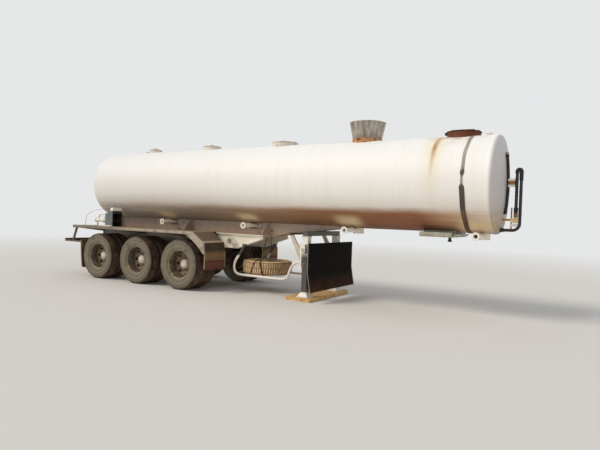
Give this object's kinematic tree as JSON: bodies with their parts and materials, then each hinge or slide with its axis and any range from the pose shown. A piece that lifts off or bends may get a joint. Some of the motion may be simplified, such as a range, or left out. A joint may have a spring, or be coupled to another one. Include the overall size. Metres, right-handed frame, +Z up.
{
  "type": "tanker semi-trailer",
  "caption": "Cylindrical tanker semi-trailer with roof hatches and a filler funnel, twin-tyred axles on leaf springs, landing legs, a kingpin and a spare wheel carrier.",
  "frame": {"origin": "on the ground, halfway along the whole length and on the centre line", "axes": "+X towards the nose, +Y to the left side, +Z up"},
  "size_m": [9.81, 2.5, 3.295],
  "materials": {
    "band_steel": "grey brown strip",
    "board_wood": "rough sawn timber",
    "cabinet_paint": "grey green paint",
    "cradle_paint": "dusty grey paint",
    "deck_paint": "dusty grey brown paint",
    "flap_rubber": "dusty rubber",
    "frame_paint": "dusty white paint",
    "funnel_steel": "dull galvanised sheet",
    "guard_black": "flat black paint",
    "hose_rubber": "black rubber",
    "kingpin_steel": "greased forged steel",
    "lamp_red": "red lens",
    "leg_paint": "silver white paint",
    "lid_paint": "worn white paint with rust",
    "pipe_black": "black paint",
    "rusty_lid": "rusted steel",
    "spring_steel": "dark dusty steel",
    "tank_paint": "weathered cream paint",
    "tyre_rubber": "dusty black rubber",
    "wheel_paint": "cream paint"
  },
  "bodies": {
    "trailer": {"air_reservoir": "spring_steel", "axles": "spring_steel", "brake_chambers": "spring_steel", "cabinet_pipework": "frame_paint", "chassis_rails": "frame_paint", "cradle_webs": "cradle_paint", "cross_members": "frame_paint", "drain_band": "band_steel", "equalisers": "spring_steel", "filler_funnel": "funnel_steel", "hatch_necks": "tank_paint", "kingpin": "kingpin_steel", "leaf_springs": "spring_steel", "leg_braces": "leg_paint", "leg_gear": "leg_paint", "leg_tubes": "leg_paint", "light_bar": "frame_paint", "mudflaps": "flap_rubber", "nose_hose": "hose_rubber", "nose_pipe": "pipe_black", "outlet_pipes": "frame_paint", "roof_vents": "lid_paint", "skid_plate": "frame_paint", "spare_carrier": "frame_paint", "spare_rim": "wheel_paint", "spare_tyre": "tyre_rubber", "spring_hangers": "frame_paint", "stone_guard": "guard_black", "tail_lamps": "lamp_red", "tank_barrel": "tank_paint", "tank_heads": "tank_paint", "timber_packers": "board_wood", "torque_arms": "spring_steel", "valve_cabinet": "cabinet_paint", "wheel_decks": "deck_paint"},
    "wheels_r1": {"tyres_r1": "tyre_rubber", "wheel_r1": "wheel_paint"},
    "wheels_l1": {"tyres_l1": "tyre_rubber", "wheel_l1": "wheel_paint"},
    "wheels_r2": {"tyres_r2": "tyre_rubber", "wheel_r2": "wheel_paint"},
    "wheels_l2": {"tyres_l2": "tyre_rubber", "wheel_l2": "wheel_paint"},
    "wheels_r3": {"tyres_r3": "tyre_rubber", "wheel_r3": "wheel_paint"},
    "wheels_l3": {"tyres_l3": "tyre_rubber", "wheel_l3": "wheel_paint"},
    "foot_r": {"leg_foot_r": "leg_paint"},
    "foot_l": {"leg_foot_l": "leg_paint"},
    "lid_a": {"hatch_lid_a": "lid_paint"},
    "lid_b": {"hatch_lid_b": "lid_paint"},
    "lid_c": {"hatch_lid_c": "lid_paint"},
    "lid_d": {"hatch_lid_d": "rusty_lid"}
  },
  "joints": [
    {"name": "spin_r1", "type": "hinge", "parent": "trailer", "child": "wheels_r1", "pos_m": [-1.225, 0, 0.505], "axis": [0, 1, 0], "continuous": true},
    {"name": "spin_l1", "type": "hinge", "parent": "trailer", "child": "wheels_l1", "pos_m": [-1.225, 0, 0.505], "axis": [0, 1, 0], "continuous": true},
    {"name": "spin_r2", "type": "hinge", "parent": "trailer", "child": "wheels_r2", "pos_m": [-2.475, 0, 0.505], "axis": [0, 1, 0], "continuous": true},
    {"name": "spin_l2", "type": "hinge", "parent": "trailer", "child": "wheels_l2", "pos_m": [-2.475, 0, 0.505], "axis": [0, 1, 0], "continuous": true},
    {"name": "spin_r3", "type": "hinge", "parent": "trailer", "child": "wheels_r3", "pos_m": [-3.725, 0, 0.505], "axis": [0, 1, 0], "continuous": true},
    {"name": "spin_l3", "type": "hinge", "parent": "trailer", "child": "wheels_l3", "pos_m": [-3.725, 0, 0.505], "axis": [0, 1, 0], "continuous": true},
    {"name": "leg_slide_r", "type": "slide", "parent": "trailer", "child": "foot_r", "axis": [0, 0, 1], "range_m": [0, 0.4]},
    {"name": "leg_slide_l", "type": "slide", "parent": "trailer", "child": "foot_l", "axis": [0, 0, 1], "range_m": [0, 0.4]},
    {"name": "lid_hinge_a", "type": "hinge", "parent": "trailer", "child": "lid_a", "pos_m": [-3.453, 0, 3.004], "axis": [0, -1, 0], "range_deg": [0, 105]},
    {"name": "lid_hinge_b", "type": "hinge", "parent": "trailer", "child": "lid_b", "pos_m": [-1.723, 0, 3.009], "axis": [0, -1, 0], "range_deg": [0, 105]},
    {"name": "lid_hinge_c", "type": "hinge", "parent": "trailer", "child": "lid_c", "pos_m": [0.147, 0, 3.009], "axis": [0, -1, 0], "range_deg": [0, 105]},
    {"name": "lid_hinge_d", "type": "hinge", "parent": "trailer", "child": "lid_d", "pos_m": [3.667, 0, 3.019], "axis": [0, -1, 0], "range_deg": [0, 105]}
  ],
  "couplings": [
    {"joint": "leg_slide_l", "follows": "leg_slide_r", "ratio": 1}
  ]
}
